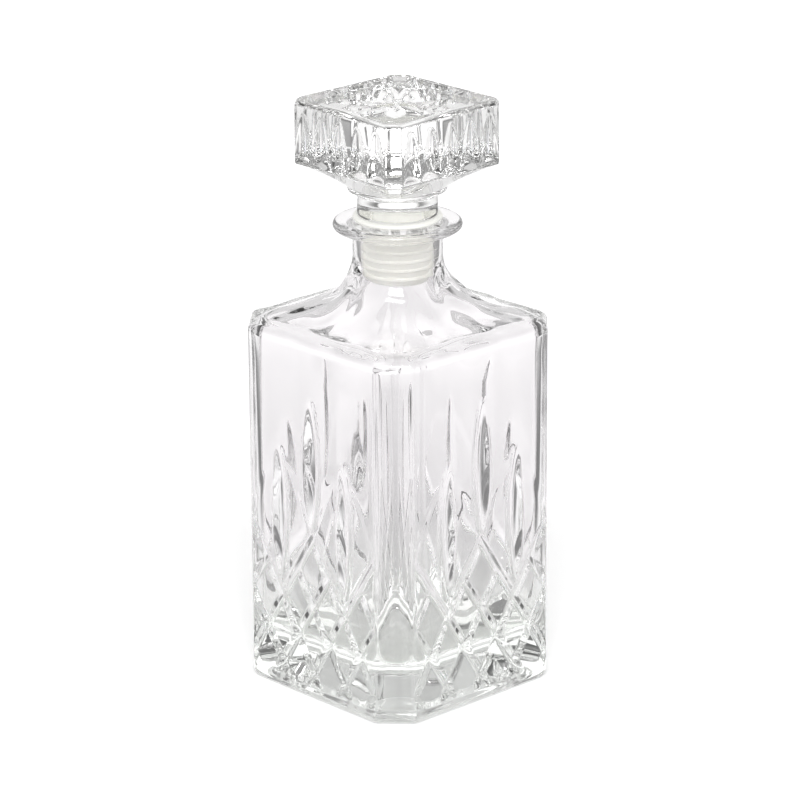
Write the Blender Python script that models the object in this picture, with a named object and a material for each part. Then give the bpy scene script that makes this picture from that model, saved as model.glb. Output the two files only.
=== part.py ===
"""Square glass decanter with a diamond-cut lower half, its square glass stopper and the ribbed plastic seal.

Units are metres and +Z is up. The foot stands on z = 0, centred on the origin, and the four faces look along
+X, +Y, -X and -Y. Three separate pieces:
  bottle        one hollow piece of glass
  stopper_seal  soft plastic sleeve that lifts straight up out of the neck along Z
  stopper       glass block with a peg that turns in the sleeve about Z
"""

import math

import bmesh
import bpy
from mathutils import Vector

# Overall sizes
HEIGHT = 0.2400
BODY_HALF = 0.0476
CORNER_LEG = 0.0114
WALL = 0.0050
FLOOR = 0.0165
GAP = 0.0003

# Foot and shoulder of the bottle
HEEL_INSET = 0.0034
HEEL_HEIGHT = 0.0050
PUNT_HALF = 0.0380
PUNT_DEPTH = 0.0012
SHOULDER_Z = 0.1475
SHOULDER_ROUND = 0.0050

# Neck and lip
NECK_R = 0.0180
NECK_Z = 0.1770
BORE_R = 0.0150
LIP_R = 0.0257
LIP_Z = 0.1910
LIP_HALF = 0.0017
LIP_FILLET = 0.0025

# Cut pattern on each face: a lattice of V grooves under a zigzag, and tall flutes standing on the zigzag
LATTICE_STEP_U = 0.01825
LATTICE_STEP_Z = 0.0282
ZIGZAG_PEAK_Z = 0.0685
LATTICE_FOOT_Z = 0.0075
GROOVE_HALF = 0.0016
GROOVE_DEPTH = 0.0012
FLUTE_HALF = 0.0034
FLUTE_DEPTH = 0.0011
FLUTE_TOPS = (0.1360, 0.1180, 0.1060, 0.1150)

# Stopper
BLOCK_HALF = 0.0305
BLOCK_LEG = 0.0045
BLOCK_FOOT_Z = 0.2138
BLOCK_FOOT_ROUND = 0.0012
BLOCK_ROUND = 0.0028
COLLAR_R = 0.0198
COLLAR_Z = (0.2033, 0.2055)
SHANK_R = 0.0160
SHANK_Z = (0.1934, 0.2015)
PEG_R = 0.0105
PEG_FOOT_Z = 0.1683
TRAY_HALF = 0.0250
TRAY_DEPTH = 0.0010
SIDE_FLUTES = 5
SIDE_FLUTE_DEPTH = 0.0011
PETALS = 12
PETAL_REACH = (0.0035, 0.0222)
PETAL_DEPTH = 0.0010

# Seal
FLANGE_R = 0.0178
FLANGE_THICK = 0.0018
SEAL_CORE_R = 0.0130
SEAL_FOOT_Z = 0.1665
FIN_R = 0.0147
FIN_THICK = 0.0009
FIN_PITCH = 0.0037
FIN_COUNT = 6

# How finely curves are divided
FACE_STEPS = 9
CORNER_STEPS = 2
ARC_STEPS = 4
SHOULDER_STEPS = 9
SEAL_SEGMENTS = 48

GLASS_COLOUR = (0.93, 0.945, 0.94)
SEAL_COLOUR = (0.86, 0.86, 0.83)


def clear_scene():
    for obj in list(bpy.data.objects):
        bpy.data.objects.remove(obj, do_unlink=True)


def material(name, colour, roughness, transmission):
    made = bpy.data.materials.new(name)
    made.use_nodes = True
    shader = made.node_tree.nodes["Principled BSDF"]
    shader.inputs["Base Color"].default_value = (*colour, 1.0)
    shader.inputs["Roughness"].default_value = roughness
    shader.inputs["Metallic"].default_value = 0.0
    shader.inputs["Transmission Weight"].default_value = transmission
    return made


def mix(first, second, amount):
    return first + (second - first) * amount


def smooth(amount):
    amount = min(max(amount, 0.0), 1.0)
    return amount * amount * (3.0 - 2.0 * amount)


def arc(centre, radius, start_deg, end_deg, steps=ARC_STEPS):
    """Points (r, z) of an arc in the profile plane, with the angle counted from +r towards +Z."""
    points = []
    for step in range(steps + 1):
        angle = math.radians(mix(start_deg, end_deg, step / steps))
        points.append((centre[0] + radius * math.cos(angle), centre[1] + radius * math.sin(angle)))
    return points


def bezier(first, first_pull, second_pull, second, amount):
    """The (r, z) point at amount along a cubic curve between two profile points."""
    rest = 1.0 - amount
    weights = (rest**3, 3 * rest**2 * amount, 3 * rest * amount**2, amount**3)
    corners = (first, first_pull, second_pull, second)
    return tuple(sum(w * c[axis] for w, c in zip(weights, corners)) for axis in (0, 1))


def ring(half, leg, z, roundness=0.0):
    """One loop of points: a square of this half width with cut-off corners, blended towards a circle."""
    points = []
    for quarter in range(4):
        turn = math.radians(90 * quarter)
        run = half - leg
        flat = [(half, mix(-run, run, step / FACE_STEPS)) for step in range(FACE_STEPS)]
        cuts = [leg * step / CORNER_STEPS for step in range(CORNER_STEPS)]
        corner = [(half - cut_back, run + cut_back) for cut_back in cuts]
        count = FACE_STEPS + CORNER_STEPS
        first_angle = -math.pi / 4 * FACE_STEPS / count
        for index, (x, y) in enumerate(flat + corner):
            angle = first_angle + index * math.pi / 2 / count
            x = mix(x, half * math.cos(angle), roundness)
            y = mix(y, half * math.sin(angle), roundness)
            turned_x = x * math.cos(turn) - y * math.sin(turn)
            turned_y = x * math.sin(turn) + y * math.cos(turn)
            points.append(Vector((turned_x, turned_y, z)))
    return points


def circle(radius, z, count):
    angles = [2 * math.pi * index / count for index in range(count)]
    return [Vector((radius * math.cos(angle), radius * math.sin(angle), z)) for angle in angles]


def skin(rings):
    """A closed mesh through these loops, in order, with the first and last ones filled."""
    bm = bmesh.new()
    loops = [[bm.verts.new(point) for point in loop] for loop in rings]
    for lower, upper in zip(loops, loops[1:]):
        count = len(lower)
        for index in range(count):
            following = (index + 1) % count
            bm.faces.new((lower[index], lower[following], upper[following], upper[index]))
    bm.faces.new(list(reversed(loops[0])))
    bm.faces.new(loops[-1])
    bmesh.ops.recalc_face_normals(bm, faces=bm.faces)
    return bm


def add_object(name, bm, look=None):
    mesh = bpy.data.meshes.new(name)
    bm.to_mesh(mesh)
    bm.free()
    obj = bpy.data.objects.new(name, mesh)
    bpy.context.scene.collection.objects.link(obj)
    if look is not None:
        mesh.materials.append(look)
    return obj


def finish_glass(obj, angle_deg):
    mesh = obj.data
    mesh.shade_smooth()
    mesh.set_sharp_from_angle(angle=math.radians(angle_deg))


def scoop(bm, start, end, outward, half_width, depth, power, section_steps, fullness):
    """Adds one long pointed cutter lying in a face: power 1 gives a V groove, power 2 a round-bottomed flute.

    fullness is a list of (place along the length, share of the full depth and width).
    """
    along = end - start
    across = outward.cross(along).normalized()
    clear = 0.0010
    full_half = half_width * ((depth + clear) / depth) ** (1.0 / power)
    loops = []
    for place, share in fullness:
        deep = mix(-0.3 * clear, depth, share)
        wide = full_half * mix(0.12, 1.0, share)
        loop = []
        for step in range(section_steps + 1):
            side = -1.0 + 2.0 * step / section_steps
            height = -deep + (deep + clear) * abs(side) ** power
            loop.append(bm.verts.new(start + along * place + across * (side * wide) + outward * height))
        loops.append(loop)
    for lower, upper in zip(loops, loops[1:]):
        count = len(lower)
        for index in range(count):
            following = (index + 1) % count
            bm.faces.new((lower[index], lower[following], upper[following], upper[index]))
    bm.faces.new(list(reversed(loops[0])))
    bm.faces.new(loops[-1])


def cut(obj, name, cutter_bm):
    """Subtracts a cutter mesh from the object with an exact Boolean."""
    bmesh.ops.recalc_face_normals(cutter_bm, faces=cutter_bm.faces)
    cutter = add_object(name, cutter_bm)
    cutter.hide_render = True
    cutter.display_type = "WIRE"
    modifier = obj.modifiers.new(name, "BOOLEAN")
    modifier.operation = "DIFFERENCE"
    modifier.solver = "EXACT"
    modifier.object = cutter


def faces_of(half):
    """For each of the four faces, its outward direction and a function from (u, z) on it to a point."""
    for quarter in range(4):
        turn = math.radians(90 * quarter)
        outward = Vector((math.cos(turn), math.sin(turn), 0.0))
        sideways = Vector((-math.sin(turn), math.cos(turn), 0.0))

        def place(u, z, outward=outward, sideways=sideways):
            return outward * half + sideways * u + Vector((0.0, 0.0, z))

        yield outward, place


def zigzag_z(u):
    """Height of the zigzag border above this place across a face."""
    phase = abs(u) / LATTICE_STEP_U
    distance = abs(phase - 2.0 * round(phase / 2.0))
    return ZIGZAG_PEAK_Z - distance * LATTICE_STEP_Z


def groove_line(peak_u, slant):
    """(u, z) ends of one lattice line, which would meet the peak height at peak_u and leans by slant."""
    edge = BODY_HALF - CORNER_LEG - 0.0004
    rate = slant * LATTICE_STEP_U / LATTICE_STEP_Z
    samples = 200
    inside = []
    for step in range(samples + 1):
        z = mix(ZIGZAG_PEAK_Z, LATTICE_FOOT_Z, step / samples)
        u = peak_u + (ZIGZAG_PEAK_Z - z) * rate
        if abs(u) <= edge and z <= zigzag_z(u) + 0.0005:
            inside.append((u, z))
    return inside[0], inside[-1]


def lattice_cutter(slant):
    """All grooves of one slant on all four faces. Grooves of one slant never cross each other."""
    bm = bmesh.new()
    taper = 0.10 + 0.015 * slant
    fullness = ((0.0, 0.0), (taper, 0.85), (2 * taper, 1.0), (0.84, 1.0), (1.0, 0.0))
    for outward, place in faces_of(BODY_HALF):
        for number in range(-3, 2):
            top, foot = groove_line(slant * number * LATTICE_STEP_U, slant)
            scoop(bm, place(*foot), place(*top), outward, GROOVE_HALF, GROOVE_DEPTH, 1, 2, fullness)
    return bm


def flute_cutter():
    """The tall flutes above the zigzag on all four faces, the tallest in the middle."""
    bm = bmesh.new()
    fullness = ((0.0, 0.0), (0.06, 0.45), (0.18, 0.85), (0.35, 1.0), (0.60, 0.85), (0.82, 0.45), (1.0, 0.0))
    for outward, place in faces_of(BODY_HALF):
        for number in range(-3, 4):
            u = number * LATTICE_STEP_U / 2
            foot = zigzag_z(u) + 0.0030
            top = FLUTE_TOPS[abs(number)]
            scoop(bm, place(u, foot), place(u, top), outward, FLUTE_HALF, FLUTE_DEPTH, 2, 6, fullness)
    return bm


def shoulder_rings(inset):
    """Loops from the top of the straight wall to the foot of the neck, moved inwards by inset."""
    half = BODY_HALF - inset
    leg = CORNER_LEG + inset * 0.6
    top = SHOULDER_Z - inset * 0.5
    rings = []
    for radial, height in arc((half - SHOULDER_ROUND, top), SHOULDER_ROUND, 0, 78):
        rings.append(ring(radial, leg, height))
    first = arc((half - SHOULDER_ROUND, top), SHOULDER_ROUND, 78, 78, 1)[0]
    neck = (NECK_R, NECK_Z) if inset == 0 else (BORE_R, NECK_Z - 0.0060)
    first_pull = (mix(first[0], neck[0], 0.42), first[1] + 0.0004)
    second_pull = (neck[0] + 0.0006, neck[1] - 0.0140)
    for step in range(1, SHOULDER_STEPS + 1):
        amount = step / SHOULDER_STEPS
        radial, height = bezier(first, first_pull, second_pull, neck, amount)
        rings.append(ring(radial, leg * (1.0 - smooth(amount)), height, smooth(amount * 1.15)))
    return rings


def lip_rings():
    """Loops of the neck's top: a fillet out to the rolled lip, over it and into the bore."""
    middle = LIP_Z - LIP_HALF
    under = LIP_Z - 2 * LIP_HALF
    profile = arc((NECK_R + LIP_FILLET, under - LIP_FILLET), LIP_FILLET, 180, 90)
    profile += arc((LIP_R - LIP_HALF, middle), LIP_HALF, -90, 90)
    profile += arc((BORE_R + 0.0010, LIP_Z - 0.0010), 0.0010, 90, 180, 2)
    return [ring(radial, 0.0, height, 1.0) for radial, height in profile]


def foot_rings():
    """Loops from inside the punt, under the foot, round the heel to the straight wall."""
    foot_half = BODY_HALF - HEEL_INSET
    rings = [ring(PUNT_HALF - 0.0030, CORNER_LEG, PUNT_DEPTH)]
    rings.append(ring(PUNT_HALF, CORNER_LEG, 0.0))
    for step in range(ARC_STEPS + 1):
        angle = math.radians(90 * step / ARC_STEPS)
        half = foot_half + HEEL_INSET * math.sin(angle)
        rings.append(ring(half, CORNER_LEG, HEEL_HEIGHT * (1.0 - math.cos(angle))))
    return rings


def cavity_rings():
    """Loops of the hollow, from the bore down to the rounded edge of the floor."""
    half = BODY_HALF - WALL
    leg = CORNER_LEG + WALL * 0.6
    rings = list(reversed(shoulder_rings(WALL)))
    edge = 0.0080
    for radial, height in arc((half - edge, FLOOR + edge), edge, 0, -90):
        rings.append(ring(radial, leg, height))
    return rings


def build_bottle(glass):
    rings = foot_rings() + shoulder_rings(0.0) + lip_rings() + cavity_rings()
    bottle = add_object("bottle", skin(rings), glass)
    cut(bottle, "cutter_lattice_rising", lattice_cutter(1))
    cut(bottle, "cutter_lattice_falling", lattice_cutter(-1))
    cut(bottle, "cutter_flutes", flute_cutter())
    finish_glass(bottle, 30)
    return bottle


def stopper_rings():
    """Loops of the stopper, from the foot of its peg up to the tray in its top."""
    peg_top = SHANK_Z[0]
    rings = [ring(PEG_R - 0.0020, 0.0, PEG_FOOT_Z, 1.0)]
    rings.append(ring(PEG_R - 0.0008, 0.0, PEG_FOOT_Z + 0.0012, 1.0))
    rings.append(ring(PEG_R, 0.0, PEG_FOOT_Z + 0.0060, 1.0))
    rings.append(ring(PEG_R, 0.0, peg_top, 1.0))
    for radial, height in arc((SHANK_R - 0.0008, peg_top + 0.0008), 0.0008, -90, 0, 2):
        rings.append(ring(radial, 0.0, height, 1.0))
    rings.append(ring(SHANK_R, 0.0, SHANK_Z[1], 1.0))
    rings.append(ring(COLLAR_R - 0.0006, 0.0, COLLAR_Z[0], 1.0))
    rings.append(ring(COLLAR_R, 0.0, mix(*COLLAR_Z, 0.5), 1.0))
    rings.append(ring(COLLAR_R, 0.0, COLLAR_Z[1], 1.0))
    for step in range(1, 5):
        amount = step / 4
        half = mix(COLLAR_R, BLOCK_HALF - BLOCK_FOOT_ROUND, amount)
        height = mix(COLLAR_Z[1], BLOCK_FOOT_Z, amount)
        rings.append(ring(half, BLOCK_LEG * amount, height, 1.0 - amount))
    foot_centre = (BLOCK_HALF - BLOCK_FOOT_ROUND, BLOCK_FOOT_Z + BLOCK_FOOT_ROUND)
    for radial, height in arc(foot_centre, BLOCK_FOOT_ROUND, -45, 0, 2):
        rings.append(ring(radial, BLOCK_LEG, height))
    for radial, height in arc((BLOCK_HALF - BLOCK_ROUND, HEIGHT - BLOCK_ROUND), BLOCK_ROUND, 0, 90):
        rings.append(ring(radial, BLOCK_LEG, height))
    rings.append(ring(TRAY_HALF + 0.0010, BLOCK_LEG, HEIGHT))
    rings.append(ring(TRAY_HALF, BLOCK_LEG, HEIGHT - TRAY_DEPTH))
    return rings


def side_flute_cutter():
    """Flutes with round feet just above the block's lower edge and points near its top."""
    bm = bmesh.new()
    pitch = 2 * (BLOCK_HALF - BLOCK_LEG) / SIDE_FLUTES
    fullness = ((0.0, 0.0), (0.04, 0.7), (0.10, 1.0), (0.45, 0.85), (0.70, 0.55), (0.87, 0.22), (1.0, 0.0))
    for outward, place in faces_of(BLOCK_HALF):
        for number in range(SIDE_FLUTES):
            u = (number - (SIDE_FLUTES - 1) / 2) * pitch
            foot = place(u, BLOCK_FOOT_Z + 0.0016)
            top = place(u, HEIGHT - BLOCK_ROUND - 0.0010)
            scoop(bm, foot, top, outward, pitch * 0.45, SIDE_FLUTE_DEPTH, 2, 6, fullness)
    return bm


def petal_cutter():
    """The petals of the star in the tray, all pointing at the centre."""
    bm = bmesh.new()
    up = Vector((0.0, 0.0, 1.0))
    base = up * (HEIGHT - TRAY_DEPTH)
    fullness = ((0.0, 0.0), (0.25, 0.45), (0.60, 0.9), (0.80, 1.0), (1.0, 0.0))
    for number in range(PETALS):
        angle = 2 * math.pi * (number + 0.5) / PETALS
        spoke = Vector((math.cos(angle), math.sin(angle), 0.0))
        start = base + spoke * PETAL_REACH[0]
        end = base + spoke * PETAL_REACH[1]
        scoop(bm, start, end, up, 0.0026, PETAL_DEPTH, 1, 2, fullness)
    return bm


def build_stopper(glass):
    stopper = add_object("stopper", skin(stopper_rings()), glass)
    cut(stopper, "cutter_side_flutes", side_flute_cutter())
    cut(stopper, "cutter_petals", petal_cutter())
    finish_glass(stopper, 30)
    return stopper


def build_seal(plastic):
    """A cup-shaped sleeve: closed foot, thin fins on the outside and a flange that rests on the lip."""
    flange_foot = LIP_Z + GAP
    flange_top = flange_foot + FLANGE_THICK
    hole_r = PEG_R + GAP
    profile = [(SEAL_CORE_R - 0.0008, SEAL_FOOT_Z), (SEAL_CORE_R, SEAL_FOOT_Z + 0.0008)]
    for number in range(FIN_COUNT):
        root = SEAL_FOOT_Z + 0.0022 + number * FIN_PITCH
        profile.append((SEAL_CORE_R, root))
        profile.append((FIN_R, root + 0.0006))
        profile.append((FIN_R, root + 0.0006 + FIN_THICK * 0.5))
        profile.append((SEAL_CORE_R, root + 0.0006 + FIN_THICK))
    profile += [(SEAL_CORE_R, flange_foot), (FLANGE_R - 0.0004, flange_foot)]
    profile += [(FLANGE_R, flange_foot + 0.0004), (FLANGE_R, flange_top - 0.0004)]
    profile += [(FLANGE_R - 0.0004, flange_top), (hole_r, flange_top), (hole_r, PEG_FOOT_Z + 0.0050)]
    profile += [(hole_r - 0.0010, PEG_FOOT_Z - GAP), (hole_r - 0.0030, PEG_FOOT_Z - GAP)]
    seal = add_object("stopper_seal", skin([circle(r, z, SEAL_SEGMENTS) for r, z in profile]), plastic)
    finish_glass(seal, 35)
    return seal


def main():
    clear_scene()
    glass = material("clear_glass", GLASS_COLOUR, 0.02, 1.0)
    plastic = material("milky_plastic", SEAL_COLOUR, 0.45, 0.0)
    build_bottle(glass)
    build_stopper(glass)
    build_seal(plastic)


main()
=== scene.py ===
"""Square glass decanter with a diamond-cut lower half, its glass block stopper and the ribbed plastic seal.

The file is laid out as an add-on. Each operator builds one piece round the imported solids, and main()
runs them in order. Lengths are metres, +Z is up, and the four faces look along +X, +Y, -X and -Y.
"""

import math

import bpy
import numpy as np
from bpy.props import FloatProperty, FloatVectorProperty, IntProperty, PointerProperty
from bpy.types import Operator, Panel, PropertyGroup
from mathutils import Matrix, Vector


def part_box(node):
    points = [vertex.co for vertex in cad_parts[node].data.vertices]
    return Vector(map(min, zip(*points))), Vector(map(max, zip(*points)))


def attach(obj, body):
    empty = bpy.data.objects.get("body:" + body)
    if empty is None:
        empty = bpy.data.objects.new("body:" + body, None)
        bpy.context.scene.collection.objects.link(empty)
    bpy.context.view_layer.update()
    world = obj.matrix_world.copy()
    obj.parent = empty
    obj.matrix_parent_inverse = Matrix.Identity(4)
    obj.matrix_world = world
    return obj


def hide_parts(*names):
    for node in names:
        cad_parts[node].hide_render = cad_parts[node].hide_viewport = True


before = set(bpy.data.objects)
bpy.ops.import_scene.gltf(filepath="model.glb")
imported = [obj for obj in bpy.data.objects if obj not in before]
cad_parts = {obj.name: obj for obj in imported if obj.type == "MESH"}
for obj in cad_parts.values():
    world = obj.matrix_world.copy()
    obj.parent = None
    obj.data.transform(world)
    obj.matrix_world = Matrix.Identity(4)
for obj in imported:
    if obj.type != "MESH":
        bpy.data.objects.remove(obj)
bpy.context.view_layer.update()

bl_info = {
    "name": "Cut Glass Decanter",
    "version": (1, 0, 0),
    "blender": (4, 5, 0),
    "location": "3D View > Sidebar > Decanter",
    "description": "Builds a square cut-glass decanter with its stopper, seal and studio",
    "category": "Add Mesh",
}

BOTTLE_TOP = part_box("bottle")[1]
STOPPER_FOOT, STOPPER_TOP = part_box("stopper")
SEAL_FOOT, SEAL_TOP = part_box("stopper_seal")
# Name of the point attribute that holds how much painted shade darkens the glass.
PAINTED_SHADE_MARK = "grey"
BLACK = (0.0, 0.0, 0.0)
WHITE = (1.0, 1.0, 1.0)
FLOOR_REACH = 6.0
LAMP_AIM = Vector((0.0, 0.0, 0.05))

# Where the moulded ripples come and go, as the height where the change starts or ends, and its width.
RIPPLES_FROM = (0.004, 0.010)
RIPPLES_TO = (0.172, 0.012)
SHOULDER_FROM = (0.138, 0.010)
FLOOR_FROM = (0.008, 0.004)
FLOOR_TO = (0.034, 0.012)


def length(name, description, default):
    return FloatProperty(name=name, description=description, default=default, unit="LENGTH", precision=5)


def angle(name, description, degrees):
    return FloatProperty(name=name, description=description, default=math.radians(degrees), subtype="ANGLE")


def share(name, description, default):
    return FloatProperty(name=name, description=description, default=default, min=0.0, max=1.0)


def colour(name, description, default):
    return FloatVectorProperty(name=name, description=description, default=default, subtype="COLOR", size=3)


# Sizes and colours


class BottleSizes(PropertyGroup):
    half: length("Half width", "Half the distance between opposite faces", BOTTLE_TOP[0])
    corner: length("Corner cut", "Leg of the flat cut off each upright corner", 0.0114)
    edge_leg: length("Edge rounding", "Least length lost on each side of a rounded upright edge", 0.0012)
    wall: length("Wall", "Thickness of the glass wall", 0.0050)
    floor: length("Floor", "Height of the hollow's floor", 0.0165)
    hollow_round: length("Hollow rounding", "Radius of the hollow's upright corners", 0.0120)
    floor_round: length("Floor rounding", "Radius between the hollow's wall and floor", 0.0130)
    heel_inset: length("Heel inset", "How far the foot stands inside the wall", 0.0034)
    heel_height: length("Heel height", "Height of the rounded heel", 0.0050)
    punt_half: length("Punt half width", "Half width of the recess under the foot", 0.0380)
    punt_depth: length("Punt depth", "Depth of the recess under the foot", 0.0012)
    shoulder_z: length("Shoulder height", "Where the straight wall ends", 0.1475)
    shoulder_round: length("Shoulder rounding", "Radius between the wall and the shoulder", 0.0040)
    hollow_shoulder: length("Hollow shoulder", "Radius between the hollow's wall and its shoulder", 0.0045)
    neck_radius: length("Neck radius", "Outside radius of the neck", 0.0180)
    neck_z: length("Neck height", "Where the shoulder has become the neck", 0.1770)
    bore_radius: length("Bore radius", "Inside radius of the neck", 0.0150)
    lip_radius: length("Lip radius", "Outside radius of the lip", 0.0257)
    lip_half: length("Lip half thickness", "Half the thickness of the lip", 0.0017)
    lip_fillet: length("Lip fillet", "Radius between the neck and the lip", 0.0025)
    ripple: length("Ripple", "Depth of the uneven, moulded surface outside", 0.00012)
    inner_ripple: length("Inner ripple", "Depth of the uneven surface of the hollow", 0.0016)


class CutSizes(PropertyGroup):
    step_across: length("Step across", "Distance between crossings along a face", 0.01825)
    step_up: length("Step up", "Distance between crossings up a face", 0.0282)
    peak: length("Peak height", "Height of the zigzag's peaks", 0.0685)
    foot: length("Foot", "Height where the lattice fades out", 0.0065)
    cells: IntProperty(name="Cells", description="Mesh cells in one step across", default=22, min=8)
    groove_half: length("Groove half width", "Half width of a lattice groove", 0.00165)
    groove_depth: length("Groove depth", "Depth of a lattice groove", 0.0015)
    border_half: length("Border half width", "Half width of the zigzag groove", 0.0021)
    pillow: length("Pillow", "How much each diamond is domed", 0.0004)
    spear_low: length("Spear foot", "Where the flute on the middle peak starts", 0.0700)
    spear_high: length("Spear tip", "Where the flute on the middle peak ends", 0.1270)
    spear_half: length("Spear half width", "Half width of the flute on the middle peak", 0.0052)
    leaf_low: length("Leaf foot", "Where the flutes on the valleys start", 0.0460)
    leaf_high: length("Leaf tip", "Where the flutes on the valleys end", 0.1040)
    leaf_half: length("Leaf half width", "Half width of the flutes on the valleys", 0.0058)
    flute_depth: length("Flute depth", "Depth of the spears and leaves", 0.0035)
    arch_low: length("Arch foot", "Height of the shallow arches over the peaks", 0.0730)
    arch_high: length("Arch tip", "Height of the shallow arches over the valleys", 0.1010)
    arch_depth: length("Arch depth", "Depth of the shallow arches", 0.0004)


class StopperSizes(PropertyGroup):
    half: length("Half width", "Half width of the block", STOPPER_TOP[0])
    corner: length("Corner cut", "Leg of the cut on the block's upright corners", 0.0045)
    edge_leg: length("Edge rounding", "Length lost on each side of a rounded upright edge", 0.0004)
    foot_z: length("Foot", "Height of the block's lower edge", 0.2138)
    foot_round: length("Foot rounding", "Radius of the block's lower edge", 0.0012)
    top_round: length("Top rounding", "Radius of the block's upper edge", 0.0028)
    collar_radius: length("Collar radius", "Radius of the collar under the block", 0.0198)
    collar_low: length("Collar foot", "Height of the collar's lower edge", 0.2033)
    collar_high: length("Collar top", "Height of the collar's upper edge", 0.2055)
    shank_radius: length("Shank radius", "Radius of the shank that stands on the seal", 0.0160)
    shank_low: length("Shank foot", "Height of the shank's lower face", 0.1934)
    shank_high: length("Shank top", "Height where the shank widens", 0.2015)
    peg_radius: length("Peg radius", "Radius of the peg inside the seal", 0.0105)
    tray_half: length("Tray half width", "Half width of the sunk top", 0.0250)
    tray_depth: length("Tray depth", "Depth of the sunk top", 0.0014)
    side_flutes: IntProperty(name="Side flutes", description="Flutes on each side", default=5, min=1)
    side_depth: length("Side flute depth", "Depth of the flutes on the block's sides", 0.0017)
    petals: IntProperty(name="Petals", description="Petals of the star in the top", default=12, min=3)
    petal_reach: length("Petal reach", "Distance of the petals' points from the centre", 0.0250)
    petal_depth: length("Petal depth", "Depth of the petals", 0.0032)
    ripple: length("Ripple", "Depth of the uneven, moulded surface", 0.00010)


class SealSizes(PropertyGroup):
    flange_radius: length("Flange radius", "Radius of the flange on the lip", SEAL_TOP[0])
    flange_thick: length("Flange thickness", "Thickness of the flange", 0.0018)
    core_radius: length("Core radius", "Radius of the sleeve between its ribs", 0.0130)
    rib_radius: length("Rib radius", "Radius of the ribs", 0.0147)
    rib_pitch: length("Rib pitch", "Distance from rib to rib", 0.0037)
    first_rib: length("First rib", "Height of the lowest rib above the seal's foot", 0.0030)
    rib_half: length("Rib half thickness", "Half the thickness of a rib", 0.0006)
    ribs: IntProperty(name="Ribs", description="Number of ribs", default=6, min=1)
    hole_radius: length("Hole radius", "Radius of the hole for the stopper's peg", 0.0108)


class Finishes(PropertyGroup):
    wall_tint: colour("Wall tint", "Colour of the glass in the thin walls", (0.956, 0.945, 0.953))
    base_tint: colour("Base tint", "Colour of the glass in the thick base", (0.925, 0.945, 0.918))
    tint_height: length("Tint height", "Height where the base tint has become the wall tint", 0.060)
    stopper_tint: colour("Stopper tint", "Colour of the stopper's glass", (0.985, 0.983, 0.978))
    # Painted shade: how light the diamonds and corner cuts are painted, darker than the clear glass.
    pillow_painted_shade: share("Pillow grey", "How light the rougher pressed diamonds and corners are", 0.78)
    # Painted shade: how light the star in the stopper's top is painted.
    star_painted_shade: share("Star grey", "How light the rougher pressed star is", 0.50)
    seal_colour: colour("Seal", "Colour of the milky plastic", (0.80, 0.80, 0.76))
    # Painted light: a fixed glow that stands in for light the milky plastic passes on from behind.
    seal_painted_glow: share("Seal glow", "Light that the milky plastic passes on from behind", 0.46)
    floor_colour: colour("Floor", "Colour of the studio floor", (0.90, 0.90, 0.90))


class StudioSettings(PropertyGroup):
    azimuth: angle("Azimuth", "Bearing of the camera", 47.03)
    elevation: angle("Elevation", "Height of the camera above the level", 18.66)
    roll: angle("Roll", "Turn of the camera about its axis", -0.378)
    distance: length("Distance", "From the camera to the middle of the decanter", 1.721)
    target: length("Target height", "Height that the camera looks at", 0.11584)
    lens: FloatProperty(name="Lens", description="Focal length", default=194.3, unit="CAMERA")
    shift: share("Shift", "Sideways shift of the picture", 0.0016)
    backdrop: share("Backdrop", "Light from behind the decanter", 0.72)
    backdrop_from: share("Backdrop start", "Where the light behind starts, from 0 beside to 1 behind", 0.40)
    backdrop_soft: share("Backdrop softness", "Width of the edge of the light behind", 0.30)
    room: share("Room", "Light from the rest of the room", 0.32)
    screen: share("Screens", "Light left on the dark screens at the sides", 0.30)
    right_screen: share("Right screen", "Where the right screen starts, from 0 behind to 1 beside", 0.50)
    left_screen: share("Left screen", "Where the left screen starts, from 0 behind to 1 beside", 0.60)
    screen_top: share("Screen top", "Height of the screens, from 0 level to 1 overhead", 0.55)
    top_soft: share("Top softness", "Width of the screens' upper edge", 0.15)
    side_soft: share("Side softness", "Width of the screens' upright edges", 0.12)
    # The floor settings from here to the glow shape painted light: a glowing strip with painted shade
    # beside it.
    strip_half: length("Strip half width", "Half width of the glowing part of the floor", 0.165)
    strip_spread: share("Strip spread", "How much the glowing part widens with distance", 0.09)
    strip_front: length("Strip front", "How far the glowing part reaches in front of the decanter", 0.17)
    left_fade: length("Left fade", "Width over which the glow falls off at the left", 0.12)
    right_fade: length("Right fade", "Width over which the glow falls off at the right", 0.07)
    # Painted shade: how light the floor's colour is painted beside the strip.
    painted_side_shade: share("Floor sides", "How light the floor is at its sides", 0.38)
    far_sides: length("Far sides", "Distance to each side where the floor begins to be light again", 0.28)
    far_width: length("Far width", "Distance over which the floor grows light again", 0.30)
    far_light: share("Far light", "How light the floor is at its far sides", 0.85)
    lamp_distance: length("Lamp distance", "From the front lamp to the decanter", 1.6)
    lamp_rise: angle("Lamp rise", "Height of the front lamp above the level", 42.0)
    lamp_size: length("Lamp size", "Side of the square front lamp", 0.5)
    lamp_power: FloatProperty(name="Lamp power", description="Lamp power", default=15.0, unit="POWER")
    glow: share("Glow", "Light that the floor gives off at its far end", 0.92)


# Node trees as expressions


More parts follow.
